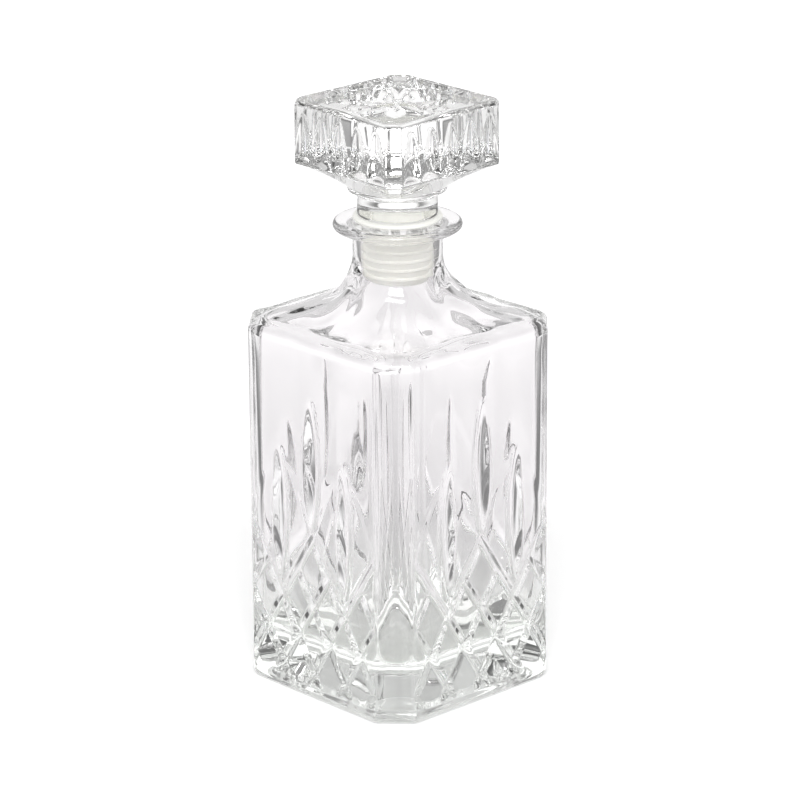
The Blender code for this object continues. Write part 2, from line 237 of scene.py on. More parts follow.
class Value:
    """One socket of a node tree that takes part in plain arithmetic and adds Math nodes as it goes."""

    def __init__(self, tree, socket):
        self.tree = tree
        self.socket = socket

    def math(self, operation, *others):
        made = self.tree.add("ShaderNodeMath", {"operation": operation}, {})
        for slot, value in zip(made.inputs, (self, *others)):
            self.tree.plug(slot, value)
        return Value(self.tree, made.outputs[0])

    def __add__(self, other):
        return self.math("ADD", other)

    def __radd__(self, other):
        return self.math("ADD", other)

    def __sub__(self, other):
        return self.math("SUBTRACT", other)

    def __rsub__(self, other):
        return (self * -1.0).math("ADD", other)

    def __mul__(self, other):
        return self.math("MULTIPLY", other)

    def __rmul__(self, other):
        return self.math("MULTIPLY", other)

    def __truediv__(self, other):
        return self.math("DIVIDE", other)

    def __pow__(self, other):
        return self.math("POWER", other)

    def __abs__(self):
        return self.math("ABSOLUTE")

    def at_most(self, other):
        return self.math("MINIMUM", other)

    def at_least(self, other):
        return self.math("MAXIMUM", other)

    def sign(self):
        return self.math("SIGN")

    def nearest(self):
        return self.math("ROUND")

    def above(self, other):
        return self.math("GREATER_THAN", other)

    def clamped(self):
        return self.at_least(0.0).at_most(1.0)

    def eased(self):
        inside = self.clamped()
        return inside * inside * (3.0 - 2.0 * inside)

    def rising(self, start, width):
        """Eases from 0 at start to 1 at start plus width."""
        return ((self - start) / width).eased()

    def falling(self, end, width):
        """Eases from 1 at end minus width to 0 at end."""
        return ((end - self) / width).eased()


class Tree:
    """A node tree, filled through one method."""

    def __init__(self, tree):
        self.tree = tree

    def plug(self, slot, value):
        if isinstance(value, Value):
            self.tree.links.new(value.socket, slot)
        elif isinstance(value, bpy.types.NodeSocket):
            self.tree.links.new(value, slot)
        else:
            slot.default_value = value

    def add(self, kind, settings, values):
        """Adds a node, makes its settings and then fills its sockets with values or links."""
        made = self.tree.nodes.new(kind)
        for name, setting in settings.items():
            setattr(made, name, setting)
        for name, value in values.items():
            self.plug(made.inputs[name], value)
        return made

    def blend(self, amount, first, second, way="MIX"):
        """The colour between first and second, or their product where way is MULTIPLY."""
        made = self.add("ShaderNodeMix", {"data_type": "RGBA", "blend_type": way}, {})
        colours = [(*part, 1.0) if isinstance(part, tuple) else part for part in (first, second)]
        for slot, value in zip((0, 6, 7), (amount, *colours)):
            self.plug(made.inputs[slot], value)
        return made.outputs[2]

    def noise(self, place, scale, detail):
        """A cloudy pattern about 0.5."""
        made = self.add("ShaderNodeTexNoise", {}, {"Vector": place, "Scale": scale, "Detail": detail})
        return Value(self, made.outputs["Fac"])

    def vector(self, x, y, z):
        return self.add("ShaderNodeCombineXYZ", {}, {"X": x, "Y": y, "Z": z}).outputs[0]

    def parts(self, socket):
        split = self.add("ShaderNodeSeparateXYZ", {}, {0: socket})
        return [Value(self, output) for output in split.outputs]


def shape_rule(name, inputs):
    """An empty Geometry Nodes group with a mesh in, a mesh out and these named numbers."""
    group = bpy.data.node_groups.new(name, "GeometryNodeTree")
    group.interface.new_socket("Geometry", in_out="INPUT", socket_type="NodeSocketGeometry")
    group.interface.new_socket("Geometry", in_out="OUTPUT", socket_type="NodeSocketGeometry")
    group.interface.new_socket("Material", in_out="INPUT", socket_type="NodeSocketMaterial")
    for label, default in inputs.items():
        made = group.interface.new_socket(label, in_out="INPUT", socket_type="NodeSocketFloat")
        made.default_value = default
    tree = Tree(group)
    source = tree.add("NodeGroupInput", {}, {})
    numbers = {label: Value(tree, source.outputs[label]) for label in inputs}
    return group, tree, source, numbers


def mark_painted_shade(tree, geometry, amount):
    """Keeps how much painted shade darkens the diamonds, corner cuts and star, for the glass to read."""
    kind = {"data_type": "FLOAT", "domain": "POINT"}
    kept = {"Geometry": geometry, "Name": PAINTED_SHADE_MARK, "Value": amount}
    return tree.add("GeometryNodeStoreNamedAttribute", kind, kept).outputs[0]


def move_surface(tree, source, x, y, z):
    """Moves every point of the incoming mesh by these fields."""
    moves = {"Geometry": source.outputs["Geometry"], "Offset": tree.vector(x, y, z)}
    return tree.add("GeometryNodeSetPosition", {}, moves).outputs[0]


def position(tree):
    """The x, y and z fields of the points."""
    return tree.parts(tree.add("GeometryNodeInputPosition", {}, {}).outputs[0])


def end_rule(tree, source, geometry):
    """Ends a shape rule with real geometry and the material."""
    real = tree.add("GeometryNodeRealizeInstances", {}, {"Geometry": geometry})
    looks = {"Geometry": real.outputs[0], "Material": source.outputs["Material"]}
    painted = tree.add("GeometryNodeSetMaterial", {}, looks)
    tree.add("NodeGroupOutput", {}, {"Geometry": painted.outputs[0]})


def follow_rule(obj, group, look, numbers):
    """Runs a shape rule on the object once and keeps the result as its plain mesh."""
    modifier = obj.modifiers.new(group.name, "NODES")
    modifier.node_group = group
    for item in group.interface.items_tree:
        if item.in_out != "INPUT":
            continue
        if item.name in numbers:
            modifier[item.identifier] = numbers[item.name]
        elif item.name == "Material":
            modifier[item.identifier] = look
    evaluated = obj.evaluated_get(bpy.context.evaluated_depsgraph_get())
    shaped = bpy.data.meshes.new_from_object(evaluated)
    obj.modifiers.remove(modifier)
    plain = obj.data
    obj.data = shaped
    bpy.data.meshes.remove(plain)
    shaped.name = obj.name
    return obj


# Meshes from loops


def mix(first, second, amount):
    return first + (second - first) * amount


def smooth(amount):
    amount = min(max(amount, 0.0), 1.0)
    return amount * amount * (3.0 - 2.0 * amount)


def arc(centre, radius, start_deg, end_deg, steps):
    """(r, z) points of an arc, with the angle counted from outwards towards up."""
    angles = np.radians(np.linspace(start_deg, end_deg, steps + 1))
    return [(centre[0] + radius * math.cos(a), centre[1] + radius * math.sin(a)) for a in angles]


def bezier(first, first_pull, second_pull, second, amount):
    rest = 1.0 - amount
    weights = (rest**3, 3 * rest**2 * amount, 3 * rest * amount**2, amount**3)
    corners = (first, first_pull, second_pull, second)
    return tuple(sum(w * c[axis] for w, c in zip(weights, corners)) for axis in (0, 1))


class Outline:
    """Places points round a square with cut corners: columns on each flat, rounded edge and cut."""

    def __init__(self, flat, edge, cut, half, corner, edge_leg):
        self.flat = flat
        self.edge = edge
        self.cut = cut
        self.quarter = flat + 2 * edge + cut
        self.corner_share = corner / half
        self.edge_share = edge_leg / half

    def loop(self, height, half, circle=0.0, thin=1, shift=0.0, corner=None, edge_leg=None):
        """One loop of points at this height, from square (circle 0) to round (circle 1).

        thin keeps every second or fourth column, and shift moves the points along by that part of a column.
        The cut corner and its rounding keep their share of the half width unless they are given.
        """
        corner = half * self.corner_share if corner is None else corner
        edge_leg = half * self.edge_share if edge_leg is None else edge_leg
        places = np.arange(0, 4 * self.quarter, thin) + shift * thin
        quarter = np.floor(places / self.quarter)
        within = places - quarter * self.quarter
        run = half - corner
        slant = edge_leg / math.sqrt(2)
        ends = np.cumsum([0, self.flat, self.edge, self.cut, self.edge])
        x = np.interp(within, ends, [half, half, half - slant, run + slant, run])
        y = np.interp(within, ends, [edge_leg - run, run - edge_leg, run + slant, half - slant, half])
        radius = edge_leg / math.tan(math.radians(22.5))
        middles = ((half - radius, run - edge_leg), (run - edge_leg, half - radius))
        for first, start_deg, middle in zip((ends[1], ends[3]), (0.0, 45.0), middles):
            rounded = (within > first) & (within < first + self.edge)
            angle = np.radians(start_deg + 45.0 * (within - first) / max(self.edge, 1))
            x = np.where(rounded, middle[0] + radius * np.cos(angle), x)
            y = np.where(rounded, middle[1] + radius * np.sin(angle), y)
        reach = np.hypot(x, y)
        scale = ((1.0 - circle) * reach + circle * half) / reach
        turn = quarter * math.pi / 2
        across = scale * (x * np.cos(turn) - y * np.sin(turn))
        along = scale * (x * np.sin(turn) + y * np.cos(turn))
        return np.stack([across, along, np.full_like(across, height)], axis=1), shift


def skin(name, loops):
    """A closed object through these loops, which may halve or double their columns or be staggered."""
    starts = np.cumsum([0] + [len(points) for points, _ in loops])
    faces = []
    for level, ((low, low_shift), (high, high_shift)) in enumerate(zip(loops, loops[1:])):
        a, b = int(starts[level]), int(starts[level + 1])
        n, m = len(low), len(high)
        for j in range(min(n, m)):
            k = (j + 1) % min(n, m)
            if n == m and low_shift == high_shift:
                faces.append((a + j, a + k, b + k, b + j))
            elif n == m and low_shift < high_shift:
                faces += [(a + j, a + k, b + j), (b + j, a + k, b + k)]
            elif n == m:
                faces += [(a + j, b + k, b + j), (a + j, a + k, b + k)]
            elif n == 2 * m:
                faces += [(a + 2 * j, a + 2 * j + 1, b + j), (a + 2 * j + 1, b + k, b + j)]
                faces.append((a + 2 * j + 1, a + (2 * j + 2) % n, b + k))
            else:
                faces += [(a + j, b + 2 * j + 1, b + 2 * j), (a + j, a + k, b + 2 * j + 1)]
                faces.append((a + k, b + (2 * j + 2) % m, b + 2 * j + 1))
    faces.append(tuple(reversed(range(len(loops[0][0])))))
    faces.append(tuple(range(int(starts[-2]), int(starts[-1]))))
    mesh = bpy.data.meshes.new(name)
    mesh.from_pydata(np.concatenate([points for points, _ in loops]), [], faces)
    mesh.validate()
    mesh.shade_smooth()
    obj = bpy.data.objects.new(name, mesh)
    bpy.context.scene.collection.objects.link(obj)
    return obj


def finish_piece(obj, body, node, sharp_deg):
    """Keeps real creases crisp, ties the piece to its body and hides the imported part that it stands for.
    """
    obj.data.shade_smooth()
    obj.data.set_sharp_from_angle(angle=math.radians(sharp_deg))
    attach(obj, body)
    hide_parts(node)


# Materials


def principled(name, settings):
    """A material with these constant Principled settings, its tree and its shader node."""
    made = bpy.data.materials.new(name)
    made.use_nodes = True
    shader = made.node_tree.nodes["Principled BSDF"]
    for label, value in settings.items():
        shader.inputs[label].default_value = value
    return made, Tree(made.node_tree), shader


def rough_bump(tree, shader, place, scale, strength, distance):
    """Fine unevenness of the surface, as a bump."""
    heights = {"Strength": strength, "Distance": distance, "Height": tree.noise(place, scale, 1.0)}
    bump = tree.add("ShaderNodeBump", {}, heights)
    tree.plug(shader.inputs["Normal"], bump.outputs["Normal"])


def glass(name, low_tint, high_tint, tint_height, grey):
    """Clear pressed glass, tinted towards its thick foot and darkened with painted shade where it is
    marked.
    """
    settings = {"Transmission Weight": 1.0, "IOR": 1.51, "Metallic": 0.0}
    made, tree, shader = principled(name, settings)
    place = tree.add("ShaderNodeTexCoord", {}, {}).outputs["Object"]
    height = tree.parts(place)[2]
    amount = (height / tint_height).eased()
    tint = tree.blend(amount, tuple(low_tint), tuple(high_tint))
    # Painted shade: the marked parts are painted darker in the base colour.
    mark = tree.add("ShaderNodeAttribute", {"attribute_name": PAINTED_SHADE_MARK}, {})
    shade = tree.blend(mark.outputs["Fac"], tint, (grey, grey, grey), "MULTIPLY")
    tree.plug(shader.inputs["Base Color"], shade)
    haze = tree.noise(place, 55.0, 2.0)
    tree.plug(shader.inputs["Roughness"], (haze - 0.55).clamped() * 0.08)
    rough_bump(tree, shader, place, 90.0, 0.05, 0.0002)
    return made


def milky_plastic(name, base, glow):
    # Painted light: the emission makes the plastic glow as if lit from behind, under any lamp.
    settings = {"Metallic": 0.0, "IOR": 1.5, "Emission Strength": glow}
    made, tree, shader = principled(name, settings)
    place = tree.add("ShaderNodeTexCoord", {}, {}).outputs["Object"]
    amount = tree.noise(place, 90.0, 3.0)
    darker = tuple(part * 0.95 for part in base)
    lighter = tuple(min(part * 1.05, 1.0) for part in base)
    tint = tree.blend(amount, darker, lighter)
    tree.plug(shader.inputs["Base Color"], tint)
    tree.plug(shader.inputs["Emission Color"], tint)
    tree.plug(shader.inputs["Roughness"], 0.32 + amount * 0.15)
    rough_bump(tree, shader, place, 900.0, 0.15, 0.0001)
    return made


# The bottle


def cut_rule(numbers):
    """The cut faces: a lattice under a zigzag border, tall flutes on the border, and a moulded ripple."""
    group, tree, source, size = shape_rule("cut_faces", numbers)
    x, y, z = position(tree)
    across = abs(x).at_most(abs(y))
    reach = abs(x).at_least(abs(y))
    skin_reach = reach.at_least(abs(x) + abs(y) - size["Edge"])
    outside = skin_reach.rising(size["Half width"] - 0.5 * size["Wall"], 0.25 * size["Wall"])

    steps_across = across / size["Step across"]
    steps_up = (z - size["Peak"]) / size["Step up"]
    diagonal = (size["Step across"] ** 2.0 + size["Step up"] ** 2.0) ** 0.5
    phase_width = size["Step across"] * size["Step up"] / diagonal
    uphill = steps_up - steps_across
    downhill = steps_up + steps_across
    off_uphill = abs(uphill - uphill.nearest())
    off_downhill = abs(downhill - downhill.nearest())

    def trough(distance, half_width, depth):
        part = (distance / half_width).at_most(1.0)
        return depth * (1.0 - part * part)

    uphill_groove = trough(off_uphill * phase_width, size["Groove half"], size["Groove depth"])
    downhill_groove = trough(off_downhill * phase_width, size["Groove half"], size["Groove depth"])
    lattice = uphill_groove.at_least(downhill_groove)
    dome = size["Pillow"] * ((1.0 - 2.0 * off_uphill) ** 2.0 + (1.0 - 2.0 * off_downhill) ** 2.0)
    phase = abs(steps_across - 2.0 * (steps_across / 2.0).nearest())
    above_border = (steps_up + phase) * size["Step up"] * size["Step across"] / diagonal
    under = (0.5 - above_border / size["Border half"]).clamped()
    border = trough(abs(above_border), size["Border half"], size["Groove depth"] * 1.1)
    foot_fade = z.rising(size["Foot"], 0.003)
    lattice_cut = (lattice.at_least(border) + dome) * under

    def leaf(off, low, high, half_width):
        """A long hollow with soft edges that is pointed at both ends."""
        along = ((z - low) / (high - low)).clamped()
        swell = 4.0 * along * (1.0 - along)
        part = (off / (half_width * (0.4 + 0.6 * swell))).at_most(1.0)
        hollow = 1.0 - part * part
        return size["Flute depth"] * swell * hollow ** 1.6

    spear = leaf(across, size["Spear low"], size["Spear high"], size["Spear half"])
    off_valley = abs(across - size["Step across"] * 1.03)
    valley_leaf = leaf(off_valley, size["Leaf low"], size["Leaf high"], size["Leaf half"])
    bow = ((steps_across / 2.0 - (steps_across / 2.0).math("FLOOR")) * math.pi).math("SINE") ** 1.15
    arch_top = size["Arch low"] + (size["Arch high"] - size["Arch low"]) * bow
    arch = (arch_top - z).rising(0.0, 0.0060) * size["Arch depth"]
    over = ((above_border - size["Border half"] * 0.2) / size["Border half"]).clamped()
    clear_of_flutes = 1.0 - (spear + valley_leaf) / size["Flute depth"]
    above = spear.at_least(valley_leaf).at_least(arch * clear_of_flutes)
    depth = lattice_cut.at_least(above * over).at_least(border) * foot_fade
    edge_fade = across.falling(size["Edge"], 0.0012)
    cut = depth * edge_fade * outside

    slow = tree.vector(x, y, z * 0.14)
    wave = tree.noise(slow, 75.0, 1.0)
    inner_wave = tree.noise(slow, 60.0, 0.5)
    between = z.falling(*RIPPLES_TO) * z.rising(*RIPPLES_FROM)
    on_shoulder = z.rising(*SHOULDER_FROM)
    on_corner = ((across - size["Edge"] - 0.0006) / 0.0008).clamped() * (1.0 - on_shoulder)
    streak = tree.noise(tree.vector(x, y, z * 0.03), 320.0, 1.0) * on_corner
    ripple = (wave * (1.0 - on_shoulder) + streak * 2.0) * size["Ripple"] * outside
    inner_depth = size["Inner ripple"] * (1.0 + 3.0 * on_shoulder)
    inner_ripple = (inner_wave - 0.5) * inner_depth * (1.0 - outside)
    swell = (inner_ripple - ripple) * between / (x * x + y * y) ** 0.5
    on_x = (abs(x) - abs(y)).above(0.0)
    on_floor = z.rising(*FLOOR_FROM) * z.falling(*FLOOR_TO)
    lift = inner_ripple * on_floor * 1.3
    push_x = x * swell - x.sign() * on_x * cut
    push_y = y * swell - y.sign() * (1.0 - on_x) * cut
    moved = move_surface(tree, source, push_x, push_y, lift)
    # Painted shade mark: the diamonds between the grooves and streaks on the corner cuts are painted
    # darker.
    ribbon = lattice.at_least(border) / size["Groove depth"]
    pillow = (1.0 - ribbon * 1.6).clamped() * under * foot_fade * edge_fade
    grey = (pillow + streak * 1.6) * outside
    end_rule(tree, source, mark_painted_shade(tree, moved, grey))
    return group


def shoulder_loops(outline, size, inset, steps):
    """Loops from the top of the straight wall to the foot of the neck, moved inwards by inset."""
    half = size.half - inset
    radius = size.shoulder_round if inset == 0 else size.hollow_shoulder
    top = size.shoulder_z - inset * 0.5 - (radius - size.shoulder_round)
    centre = (half - radius, top)
    loops = [outline.loop(z, r, thin=2) for r, z in arc(centre, radius, 0, 78, 10)]
    first = arc(centre, radius, 78, 78, 1)[0]
    neck = (size.neck_radius, size.neck_z) if inset == 0 else (size.bore_radius, size.neck_z - 0.006)
    first_pull = (mix(first[0], neck[0], 0.42), first[1] + 0.0004)
    second_pull = (neck[0] + 0.0006, neck[1] - 0.014)
    for step in range(1, steps + 1):
        amount = step / steps
        r, z = bezier(first, first_pull, second_pull, neck, amount)
        loops.append(outline.loop(z, r, smooth(amount * 1.15), thin=2))
    return loops


def foot_loops(outline, size):
    """Loops from the middle of the punt, over the rim that the bottle stands on and up the rounded heel."""
    loops = [outline.loop(size.punt_depth, r, 1.0, thin=4) for r in (0.002, 0.012)]
    for part in (0.3, 0.6, 0.85, 1.0):
        half = mix(0.012, size.punt_half - 0.003, part)
        loops.append(outline.loop(size.punt_depth, half, 1.0 - part, thin=2))
    loops.append(outline.loop(0.0, size.punt_half, thin=2))
    foot_half = size.half - size.heel_inset
    for step in range(9):
        angle = math.radians(90 * step / 8)
        half = foot_half + size.heel_inset * math.sin(angle)
        height = size.heel_height * (1.0 - math.cos(angle))
        loops.append(outline.loop(height, half))
    return loops


def wall_loops(outline, size, cuts):
    """Loops up the straight wall: rows staggered along the lattice, and wider rows for the flutes."""
    row = cuts.step_up / (2 * cuts.cells)
    lowest = math.floor((cuts.peak - size.heel_height) / row) - 1
    loops = []
    for number in range(lowest, -8, -1):
        loops.append(outline.loop(cuts.peak - number * row, size.half, shift=0.5 * (number % 2)))
    above = np.linspace(cuts.peak + 8 * row, size.shoulder_z - 0.002, 40)
    return loops + [outline.loop(height, size.half) for height in above]


def lip_loops(outline, size):
    """Loops from the neck, round the lip and into the bore."""
    top = BOTTLE_TOP[2]
    under = top - 2 * size.lip_half
    fillet = size.lip_fillet
    profile = arc((size.neck_radius + fillet, under - fillet), fillet, 180, 90, 6)
    profile += arc((size.lip_radius - size.lip_half, top - size.lip_half), size.lip_half, -90, 90, 12)
    profile += arc((size.bore_radius + 0.0010, top - 0.0010), 0.0010, 90, 180, 4)
    return [outline.loop(z, r, 1.0, thin=4) for r, z in profile]


def hollow_loops(size, quarter):
    """Loops down the inside of the neck and the hollow, whose corners are much rounder than the outside."""
    inner_half = size.half - size.wall
    edge_leg = size.hollow_round * math.tan(math.radians(22.5))
    corner = math.sqrt(2) * edge_leg + 0.0004
    cut = 2
    edge = 2 * round(quarter / 8)
    outline = Outline(quarter - 2 * edge - cut, edge, cut, inner_half, corner, edge_leg)
    loops = list(reversed(shoulder_loops(outline, size, size.wall, 18)))
    bend = size.floor_round
    for height in np.linspace(size.shoulder_z - size.hollow_shoulder, size.floor + bend, 26)[1:-1]:
        loops.append(outline.loop(height, inner_half, thin=2))
    turn = arc((inner_half - bend, size.floor + bend), bend, 0, -90, 14)
    loops += [outline.loop(z, r, thin=2) for r, z in turn]
    for part in (0.8, 0.6, 0.4):
        loops.append(outline.loop(size.floor, (inner_half - bend) * part, 1.0 - part, thin=2))
    return loops + [outline.loop(size.floor, r, 1.0, thin=4) for r in (0.007, 0.002)]


def bottle_loops(size, cuts):
    """Every loop of the bottle from the middle of the punt, up the outside and down the hollow."""
    cell = cuts.step_across / cuts.cells
    flat_half = math.floor((size.half - size.corner - size.edge_leg) / cell)
    edge_leg = size.half - size.corner - flat_half * cell
    outline = Outline(2 * flat_half, 5, 10, size.half, size.corner, edge_leg)
    loops = foot_loops(outline, size) + wall_loops(outline, size, cuts)
    loops += shoulder_loops(outline, size, 0.0, 24) + lip_loops(outline, size)
    return loops + hollow_loops(size, outline.quarter)


class DECANTER_OT_bottle(Operator):
    """Build the glass bottle with its cut faces and smooth hollow"""

    bl_idname = "decanter.bottle"
    bl_label = "Bottle"

    def execute(self, context):
        size, cuts = context.scene.decanter_bottle, context.scene.decanter_cuts
        looks = context.scene.decanter_looks
        tints = (looks.base_tint, looks.wall_tint)
        look = glass("clear_glass", *tints, looks.tint_height, looks.pillow_painted_shade)
        obj = skin("bottle_glass", bottle_loops(size, cuts))
        numbers = {
            "Half width": size.half, "Step across": cuts.step_across, "Step up": cuts.step_up,
            "Peak": cuts.peak, "Foot": cuts.foot,
            "Groove half": cuts.groove_half, "Groove depth": cuts.groove_depth,
            "Border half": cuts.border_half, "Pillow": cuts.pillow, "Spear low": cuts.spear_low,
            "Spear high": cuts.spear_high, "Spear half": cuts.spear_half, "Leaf low": cuts.leaf_low,
            "Leaf high": cuts.leaf_high, "Leaf half": cuts.leaf_half, "Flute depth": cuts.flute_depth,
            "Arch low": cuts.arch_low, "Arch high": cuts.arch_high, "Arch depth": cuts.arch_depth,
            "Edge": size.half - size.corner, "Ripple": size.ripple, "Inner ripple": size.inner_ripple,
            "Wall": size.wall,
        }
        follow_rule(obj, cut_rule(numbers), look, numbers)
        finish_piece(obj, "bottle_body", "bottle", 60)
        return {"FINISHED"}


# The stopper


def stopper_rule(numbers):
    """The block's side flutes and the star in its sunk top."""
    group, tree, source, size = shape_rule("block_cuts", numbers)
    x, y, z = position(tree)
    across = abs(x).at_most(abs(y))
    reach = abs(x).at_least(abs(y))
    on_side = ((reach - size["Half width"] + 0.0006) / 0.0004).clamped()

    pitch = 2.0 * (size["Half width"] - size["Corner"]) / size["Flutes"]
    beside = abs(across - (across / pitch).nearest() * pitch)
    flute_low = size["Foot"] + 0.0016
    flute_high = size["Top"] - size["Top round"] - 0.0014
    left = ((flute_high - z) / (flute_high - flute_low)).clamped()
    half_width = pitch * 0.5 * (left ** 0.55).at_least(0.02)
    part = (beside / half_width).at_most(1.0)
    scoop = size["Side depth"] * (left ** 0.5) * (1.0 - part * part)
    run_out = ((z - flute_low) * 0.7).at_least(0.0)
    edge_fade = ((size["Half width"] - size["Corner"] - across) / 0.0008).clamped()
    side_cut = scoop.at_most(run_out) * on_side * edge_fade

    distance = (x * x + y * y) ** 0.5
    angle = y.math("ARCTAN2", x)
    turn = angle * size["Petals"] / (2.0 * math.pi)
    off = abs(turn - (turn - 0.5).nearest() - 0.5) * 2.0
    point = size["Petal reach"] * (1.0 - 0.24 * off)
    rise = ((point - distance) / 0.0060).clamped()
    inner = ((distance - 0.0012) / 0.0120).clamped()
    petal = size["Petal depth"] * rise * (0.25 + 0.75 * inner) * (1.0 - off)
    ridge = size["Petal depth"] * 0.25 * rise
    on_top = ((z - size["Top"] + size["Tray depth"] * 1.5) / (0.3 * size["Tray depth"])).clamped()
    star_cut = (petal + ridge) * on_top * (1.0 - on_side)

    on_x = (abs(x) - abs(y)).above(0.0)
    ripple = tree.noise(tree.vector(x, y, z * 0.5), 120.0, 1.5) * size["Ripple"]
    push = (side_cut + ripple * on_side) * -1.0
    down = (star_cut + ripple * on_top) * -1.0
    moved = move_surface(tree, source, x.sign() * on_x * push, y.sign() * (1.0 - on_x) * push, down)
    # Painted shade mark: the star in the sunk top is painted darker.
    grey = on_top * (1.0 - on_side) * (0.5 + 1.2 * off * rise)
    end_rule(tree, source, mark_painted_shade(tree, moved, grey))
    return group


def stopper_loops(size):
    """Every loop of the stopper from the foot of its peg to the middle of its top."""
    outline = Outline(88, 4, 8, size.half, size.corner, size.edge_leg)
    top, peg_foot = STOPPER_TOP[2], STOPPER_FOOT[2]
    rim = (size.collar_high - size.collar_low) / 2
    collar = (size.collar_radius - rim, size.collar_low + rim)
    turned = [(0.002, peg_foot), (size.peg_radius - 0.002, peg_foot)]
    turned += arc((size.peg_radius - 0.0014, peg_foot + 0.0014), 0.0014, -75, 0, 4)
    turned += [(size.peg_radius, z) for z in np.linspace(peg_foot + 0.004, size.shank_low, 6)]
    turned += arc((size.shank_radius - 0.0008, size.shank_low + 0.0008), 0.0008, -90, 0, 4)
    turned += [(size.shank_radius, z) for z in np.linspace(size.shank_low + 0.002, size.shank_high, 4)]
    turned += arc((size.shank_radius + 0.0012, size.shank_high), 0.0012, 180, 110, 4)[1:]
    turned += arc(collar, rim, -80, 45, 7)
    loops = [outline.loop(z, r, 1.0, thin=4) for r, z in turned]
    start, block_foot = turned[-1], size.half - size.foot_round
    for step in range(1, 13):
        amount = step / 12
        half, height = mix(start[0], block_foot, amount), mix(start[1], size.foot_z, amount)
        loops.append(outline.loop(height, half, 1.0 - amount, thin=2 if step < 12 else 1))
    side_low, side_high = size.foot_z + size.foot_round, top - size.top_round
    profile = arc((block_foot, side_low), size.foot_round, -45, 0, 4)
    profile += [(size.half, z) for z in np.linspace(side_low, side_high, 40)[1:-1]]
    profile += arc((size.half - size.top_round, side_high), size.top_round, 0, 90, 8)
    rim_inner = size.tray_half + 0.001
    profile += [(half, top) for half in np.linspace(size.half - size.top_round, rim_inner, 4)[1:]]
    loops += [outline.loop(z, r, corner=size.corner, edge_leg=size.edge_leg) for r, z in profile]
    tray = top - size.tray_depth
    for half in np.linspace(size.tray_half, 0.006, 34):
        spread = smooth((size.tray_half - half) / (size.tray_half * 0.45))
        loops.append(outline.loop(tray, half, spread, thin=1 if half > 0.016 else 2))
    return loops + [outline.loop(tray, r, 1.0, thin=4) for r in np.linspace(0.0055, 0.0008, 8)]


class DECANTER_OT_stopper(Operator):
    """Build the glass stopper with its fluted sides, star, collar, shank and peg"""

    bl_idname = "decanter.stopper"
    bl_label = "Stopper"

    def execute(self, context):
        size, looks = context.scene.decanter_stopper, context.scene.decanter_looks
        tints = (looks.stopper_tint, looks.stopper_tint)
        look = glass("stopper_glass", *tints, looks.tint_height, looks.star_painted_shade)
        obj = skin("stopper_glass", stopper_loops(size))
        numbers = {
            "Half width": size.half, "Corner": size.corner, "Foot": size.foot_z, "Top": STOPPER_TOP[2],
            "Top round": size.top_round, "Flutes": float(size.side_flutes), "Side depth": size.side_depth,
            "Petals": float(size.petals), "Petal reach": size.petal_reach, "Petal depth": size.petal_depth,
            "Tray depth": size.tray_depth, "Ripple": size.ripple,
        }
        follow_rule(obj, stopper_rule(numbers), look, numbers)
        finish_piece(obj, "stopper_body", "stopper", 60)
        return {"FINISHED"}


# The seal


def rib_rule(numbers):
    """The thin ribs that stand out from the sleeve, evenly spaced along it."""
    group, tree, source, size = shape_rule("sleeve_ribs", numbers)
    x, y, z = position(tree)
    distance = (x * x + y * y) ** 0.5
    on_core = 1.0 - (abs(distance - size["Core"]) / 0.0004).clamped()
    number = ((z - size["First"]) / size["Pitch"]).nearest().at_least(0.0).at_most(size["Count"] - 1.0)
    off = abs(z - size["First"] - number * size["Pitch"]) / size["Half thickness"]
    rise = (size["Rib"] - size["Core"]) * (1.0 - off ** 2.0).clamped() ** 0.6 * on_core
    end_rule(tree, source, move_surface(tree, source, x / distance * rise, y / distance * rise, 0.0))
    return group


def seal_loops(size):
    """Every loop of the plain sleeve, from its closed foot, up, over the flange and down the hole."""
    outline = Outline(16, 3, 2, 1.0, 0.28, 0.06)
    foot, top, peg_foot = SEAL_FOOT[2], SEAL_TOP[2], STOPPER_FOOT[2]
    under = top - size.flange_thick
    profile = [(0.001, foot), (size.core_radius - 0.0008, foot)]
    profile += arc((size.core_radius - 0.0006, foot + 0.0006), 0.0006, -90, 0, 3)[1:]
    profile += [(size.core_radius, z) for z in np.arange(foot + 0.0009, under - 0.0004, 0.00015)]
    profile += arc((size.core_radius + 0.0004, under - 0.0004), 0.0004, 180, 90, 2)
    edge = size.flange_thick / 2
    profile += arc((size.flange_radius - edge, under + edge), edge, -90, 90, 8)
    profile += [(size.hole_radius + 0.0004, top), (size.hole_radius, top - 0.0004)]
    profile += [(size.hole_radius, peg_foot + 0.004), (size.hole_radius - 0.0010, peg_foot - 0.0003)]
    profile += [(0.001, peg_foot - 0.0003)]
    return [outline.loop(z, r, 1.0) for r, z in profile]


class DECANTER_OT_seal(Operator):
    """Build the ribbed plastic seal on the stopper's peg"""

    bl_idname = "decanter.seal"
    bl_label = "Seal"

    def execute(self, context):
        size, looks = context.scene.decanter_seal, context.scene.decanter_looks
        look = milky_plastic("milky_plastic", looks.seal_colour, looks.seal_painted_glow)
        obj = skin("seal_plastic", seal_loops(size))
        numbers = {
            "Core": size.core_radius, "Rib": size.rib_radius, "Pitch": size.rib_pitch,
            "First": SEAL_FOOT[2] + size.first_rib, "Count": float(size.ribs),
            "Half thickness": size.rib_half,
        }
        follow_rule(obj, rib_rule(numbers), look, numbers)
        finish_piece(obj, "seal_body", "stopper_seal", 50)
        return {"FINISHED"}


# The studio


def camera_side_and_depth(tree, x, y, azimuth):
    """Splits level coordinates into the part across the camera's view and the part away from the camera."""
    across = x * math.cos(azimuth) + y * math.sin(azimuth)
    away = y * math.cos(azimuth) - x * math.sin(azimuth)
    return across, away


